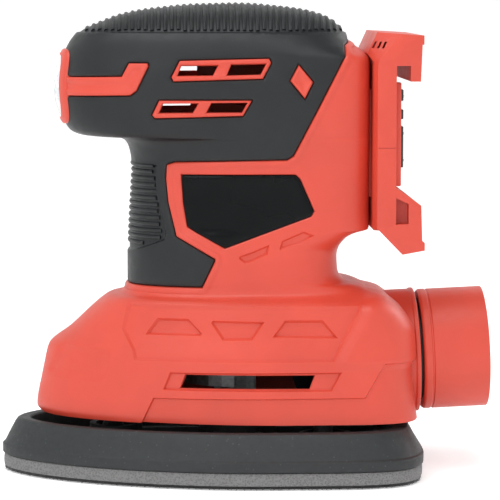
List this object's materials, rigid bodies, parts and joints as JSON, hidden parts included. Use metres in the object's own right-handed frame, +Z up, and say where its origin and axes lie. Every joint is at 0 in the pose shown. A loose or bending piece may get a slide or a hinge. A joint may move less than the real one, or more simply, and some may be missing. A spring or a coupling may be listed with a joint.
{
  "type": "cordless delta orbital sander",
  "caption": "Cordless palm sander with an iron-shaped orbiting pad, soft palm grip, rocker switch under a dust boot, rear dust port and rear battery dock.",
  "frame": {"origin": "on the motor's axis at the lower face of the sanding pad", "axes": "+Z up along the motor's axis, +X to the rear with the battery dock and dust port, -Y the tool's left side"},
  "size_m": [0.1744, 0.097, 0.1674],
  "materials": {
    "housing_red": "satin moulded nylon, coral red",
    "soft_grip": "matt soft-touch overmould, fine grain",
    "badge_gloss": "high gloss black",
    "black_plastic": "moulded glass-filled nylon",
    "platen_plastic": "satin moulded, dark grey",
    "boot_silicone": "translucent milky silicone",
    "contact_metal": "tinned spring contact",
    "steel": "ground steel",
    "screw_steel": "black zinc",
    "magnet_ferrite": "sintered ferrite",
    "carbon": "pressed carbon",
    "copper": "enamelled copper wire",
    "zinc": "die-cast zinc",
    "foam": "closed-cell foam, grey",
    "hook_fabric": "black hook-and-loop",
    "post_rubber": "moulded rubber",
    "lead_insulation_red": "smooth PVC",
    "lead_insulation_black": "smooth PVC"
  },
  "bodies": {
    "housing": {"housing_left": "housing_red", "housing_right": "housing_red", "battery_dock": "housing_red", "switch_bezel": "housing_red", "grip_overmould_left": "soft_grip", "grip_overmould_right": "soft_grip", "badge_left": "badge_gloss", "badge_right": "badge_gloss", "terminal_block": "black_plastic", "switch_body": "black_plastic", "motor_end_cap": "black_plastic", "dust_duct": "black_plastic", "switch_boot": "boot_silicone", "power_contact_positive": "contact_metal", "power_contact_negative": "contact_metal", "sense_contact": "contact_metal", "motor_can": "steel", "upper_bearing": "steel", "lower_bearing": "steel", "housing_screw_1": "screw_steel", "housing_screw_2": "screw_steel", "housing_screw_3": "screw_steel", "housing_screw_4": "screw_steel", "housing_screw_5": "screw_steel", "housing_screw_6": "screw_steel", "housing_screw_7": "screw_steel", "magnet_left": "magnet_ferrite", "magnet_right": "magnet_ferrite", "brush_left": "carbon", "brush_right": "carbon", "post_front": "post_rubber", "post_rear_left": "post_rubber", "post_rear_right": "post_rubber", "lead_battery_to_switch": "lead_insulation_red", "lead_battery_to_motor": "lead_insulation_black", "lead_switch_to_motor": "lead_insulation_black"},
    "rotor": {"armature_core": "steel", "armature_winding": "copper", "commutator": "copper", "motor_shaft": "steel", "extraction_fan": "black_plastic", "eccentric_hub": "zinc", "bearing_washer": "steel", "pad_screw": "steel"},
    "pad": {"platen": "platen_plastic", "foam_pad": "foam", "hook_sheet": "hook_fabric", "pad_bearing": "steel"},
    "rocker": {"switch_rocker": "black_plastic"},
    "adapter": {"dust_adapter": "housing_red"}
  },
  "joints": [
    {"name": "rotor_spin", "type": "hinge", "parent": "housing", "child": "rotor", "pos_m": [0, 0, 0.08], "axis": [0, 0, 1], "continuous": true},
    {"name": "pad_orbit", "type": "hinge", "parent": "rotor", "child": "pad", "pos_m": [0.001, 0, 0.02], "axis": [0, 0, 1], "continuous": true},
    {"name": "rocker_tilt", "type": "hinge", "parent": "housing", "child": "rocker", "pos_m": [-0.0592, 0, 0.1375], "axis": [0, 1, 0], "range_deg": [0, 12]},
    {"name": "adapter_pull", "type": "slide", "parent": "housing", "child": "adapter", "axis": [0.999, 0, 0.0445], "range_m": [0, 0.03]}
  ],
  "couplings": [
    {"joint": "pad_orbit", "follows": "rotor_spin", "ratio": -1}
  ]
}
